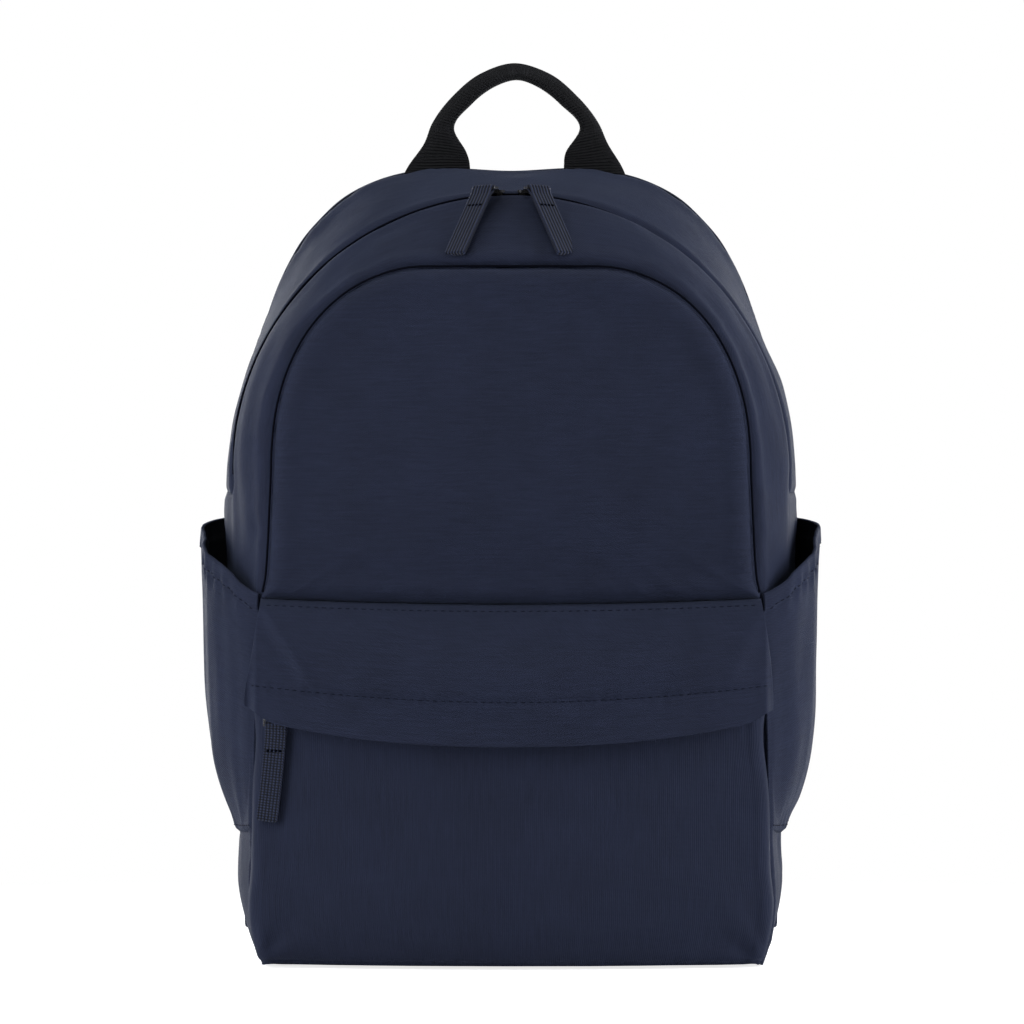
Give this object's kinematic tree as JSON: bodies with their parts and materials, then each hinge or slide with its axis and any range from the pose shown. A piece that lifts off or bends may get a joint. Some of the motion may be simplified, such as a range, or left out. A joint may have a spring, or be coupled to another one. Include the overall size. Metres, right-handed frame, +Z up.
{
  "type": "school backpack",
  "caption": "Arched fabric school backpack with zipped front, flapped front pocket, open side pockets, webbing grab handle and padded adjustable shoulder straps.",
  "frame": {"origin": "middle of the underside of the base, on the surface the bag stands on", "axes": "+Z up, -Y out of the front pocket, +Y out of the padded back, +X to the right of someone facing the front"},
  "size_m": [0.3142, 0.1999, 0.4555],
  "materials": {
    "shell_fabric": "fine ribbed twill",
    "lining": "plain thin lining cloth",
    "binding_tape": "narrow bound edge",
    "zip_tape": "woven zip tape",
    "zip_coil": "nylon coil",
    "zip_metal": "black lacquer with worn edges",
    "stop_metal": "pressed metal",
    "pull_tape": "ribbed grosgrain tape",
    "back_mesh": "padded spacer mesh",
    "foam": "open-cell foam",
    "board": "thin stiffener sheet",
    "handle_webbing": "black ribbed webbing, folded and stitched",
    "black_webbing": "flat woven webbing",
    "buckle_plastic": "moulded, satin"
  },
  "bodies": {
    "shell": {"base_panel": "shell_fabric", "side_panel_left": "shell_fabric", "side_panel_right": "shell_fabric", "top_gusset_rear": "shell_fabric", "front_inner_panel": "lining", "front_fold": "shell_fabric", "back_lining": "lining", "back_foam": "foam", "back_panel": "back_mesh", "base_board": "board", "laptop_sleeve": "lining", "seam_binding_rear": "binding_tape", "seam_binding_front": "binding_tape", "main_zip_tape_rear": "zip_tape", "main_zip_coil_rear": "zip_coil", "main_zip_stops": "stop_metal", "front_pocket_top_panel": "shell_fabric", "front_pocket_panel": "shell_fabric", "front_pocket_base": "shell_fabric", "pocket_zip_tape_upper": "zip_tape", "pocket_zip_tape_lower": "zip_tape", "pocket_zip_coil": "zip_coil", "pocket_zip_stops": "stop_metal", "side_pocket_left": "shell_fabric", "side_pocket_right": "shell_fabric", "side_pocket_hem_left": "binding_tape", "side_pocket_hem_right": "binding_tape", "strap_yoke": "shell_fabric", "strap_root_left": "black_webbing", "strap_root_right": "black_webbing", "strap_anchor_left": "black_webbing", "strap_anchor_right": "black_webbing"},
    "front_lid": {"front_panel_upper": "shell_fabric", "top_gusset_front": "shell_fabric", "main_zip_tape_front": "zip_tape", "main_zip_coil_front": "zip_coil", "lid_binding": "binding_tape"},
    "left_slider": {"main_slider_left": "zip_metal"},
    "right_slider": {"main_slider_right": "zip_metal"},
    "left_ring": {"slider_ring_left": "zip_metal"},
    "right_ring": {"slider_ring_right": "zip_metal"},
    "left_pull": {"pull_tab_left": "pull_tape"},
    "right_pull": {"pull_tab_right": "pull_tape"},
    "pocket_slider": {"pocket_slider": "zip_metal", "pocket_slider_ring": "zip_metal"},
    "pocket_pull": {"pocket_pull_tab": "pull_tape"},
    "pocket_flap": {"front_pocket_flap": "shell_fabric"},
    "handle": {"grab_handle": "handle_webbing"},
    "left_strap": {"strap_cover_left": "shell_fabric", "strap_foam_left": "foam", "ladder_lock_left": "buckle_plastic", "lock_loop_left": "black_webbing", "adjuster_webbing_left": "black_webbing"},
    "right_strap": {"strap_cover_right": "shell_fabric", "strap_foam_right": "foam", "ladder_lock_right": "buckle_plastic", "lock_loop_right": "black_webbing", "adjuster_webbing_right": "black_webbing"},
    "left_tail": {"adjuster_tail_left": "black_webbing"},
    "right_tail": {"adjuster_tail_right": "black_webbing"}
  },
  "joints": [
    {"name": "lid_fold", "type": "hinge", "parent": "shell", "child": "front_lid", "pos_m": [0, -0.005, 0.252], "axis": [1, 0, 0], "range_deg": [0, 30], "deforming": ["front_fold"]},
    {"name": "left_slider_travel", "type": "hinge", "parent": "front_lid", "child": "left_slider", "pos_m": [0, -0.005, 0.247], "axis": [0, -1, 0], "range_deg": [0, 82]},
    {"name": "left_ring_swivel", "type": "hinge", "parent": "left_slider", "child": "left_ring", "pos_m": [-0.00967, -0.0082, 0.39027], "axis": [0.0673, 0, -0.9977], "range_deg": [0, 59]},
    {"name": "left_pull_lift", "type": "hinge", "parent": "left_ring", "child": "left_pull", "pos_m": [-0.01376, -0.01497, 0.3905], "axis": [-0.8552, 0.515, -0.0577], "range_deg": [0, 75]},
    {"name": "right_slider_travel", "type": "hinge", "parent": "front_lid", "child": "right_slider", "pos_m": [0, -0.005, 0.247], "axis": [0, 1, 0], "range_deg": [0, 82]},
    {"name": "right_ring_swivel", "type": "hinge", "parent": "right_slider", "child": "right_ring", "pos_m": [0.00967, -0.0082, 0.39027], "axis": [0.0673, 0, 0.9977], "range_deg": [0, 59]},
    {"name": "right_pull_lift", "type": "hinge", "parent": "right_ring", "child": "right_pull", "pos_m": [0.01376, -0.01497, 0.3905], "axis": [-0.8552, -0.515, 0.0577], "range_deg": [0, 75]},
    {"name": "pocket_slider_travel", "type": "hinge", "parent": "shell", "child": "pocket_slider", "pos_m": [0, 0.346, 0.131], "axis": [0, 0, 1], "range_deg": [0, 32]},
    {"name": "pocket_pull_lift", "type": "hinge", "parent": "pocket_slider", "child": "pocket_pull", "pos_m": [-0.11775, -0.05997, 0.1211], "axis": [-0.9604, 0.2786, 0], "range_deg": [0, 50]},
    {"name": "pocket_flap_lift", "type": "hinge", "parent": "shell", "child": "pocket_flap", "pos_m": [0, -0.07, 0.1335], "axis": [-1, 0, 0], "range_deg": [0, 35]},
    {"name": "handle_tilt", "type": "hinge", "parent": "shell", "child": "handle", "pos_m": [0, 0.059, 0.4015], "axis": [1, 0, 0], "range_deg": [-60, 80]},
    {"name": "left_strap_swing", "type": "hinge", "parent": "shell", "child": "left_strap", "pos_m": [-0.121, 0.0715, 0.026], "axis": [0.2226, 0, 0.9749], "range_deg": [-20, 20]},
    {"name": "left_tail_swing", "type": "hinge", "parent": "left_strap", "child": "left_tail", "pos_m": [-0.09919, 0.1055, 0.12154], "axis": [0.9749, 0, -0.2226], "range_deg": [0, 50]},
    {"name": "right_strap_swing", "type": "hinge", "parent": "shell", "child": "right_strap", "pos_m": [0.121, 0.0715, 0.026], "axis": [-0.2226, 0, 0.9749], "range_deg": [-20, 20]},
    {"name": "right_tail_swing", "type": "hinge", "parent": "right_strap", "child": "right_tail", "pos_m": [0.09919, 0.1055, 0.12154], "axis": [0.9749, 0, 0.2226], "range_deg": [0, 50]}
  ],
  "couplings": [
    {"joint": "left_slider_travel", "follows": "lid_fold", "ratio": 2.7333},
    {"joint": "left_ring_swivel", "follows": "lid_fold", "ratio": 1.9667},
    {"joint": "left_pull_lift", "follows": "lid_fold", "ratio": 2.5},
    {"joint": "right_slider_travel", "follows": "lid_fold", "ratio": 2.7333},
    {"joint": "right_ring_swivel", "follows": "lid_fold", "ratio": 1.9667},
    {"joint": "right_pull_lift", "follows": "lid_fold", "ratio": 2.5}
  ]
}
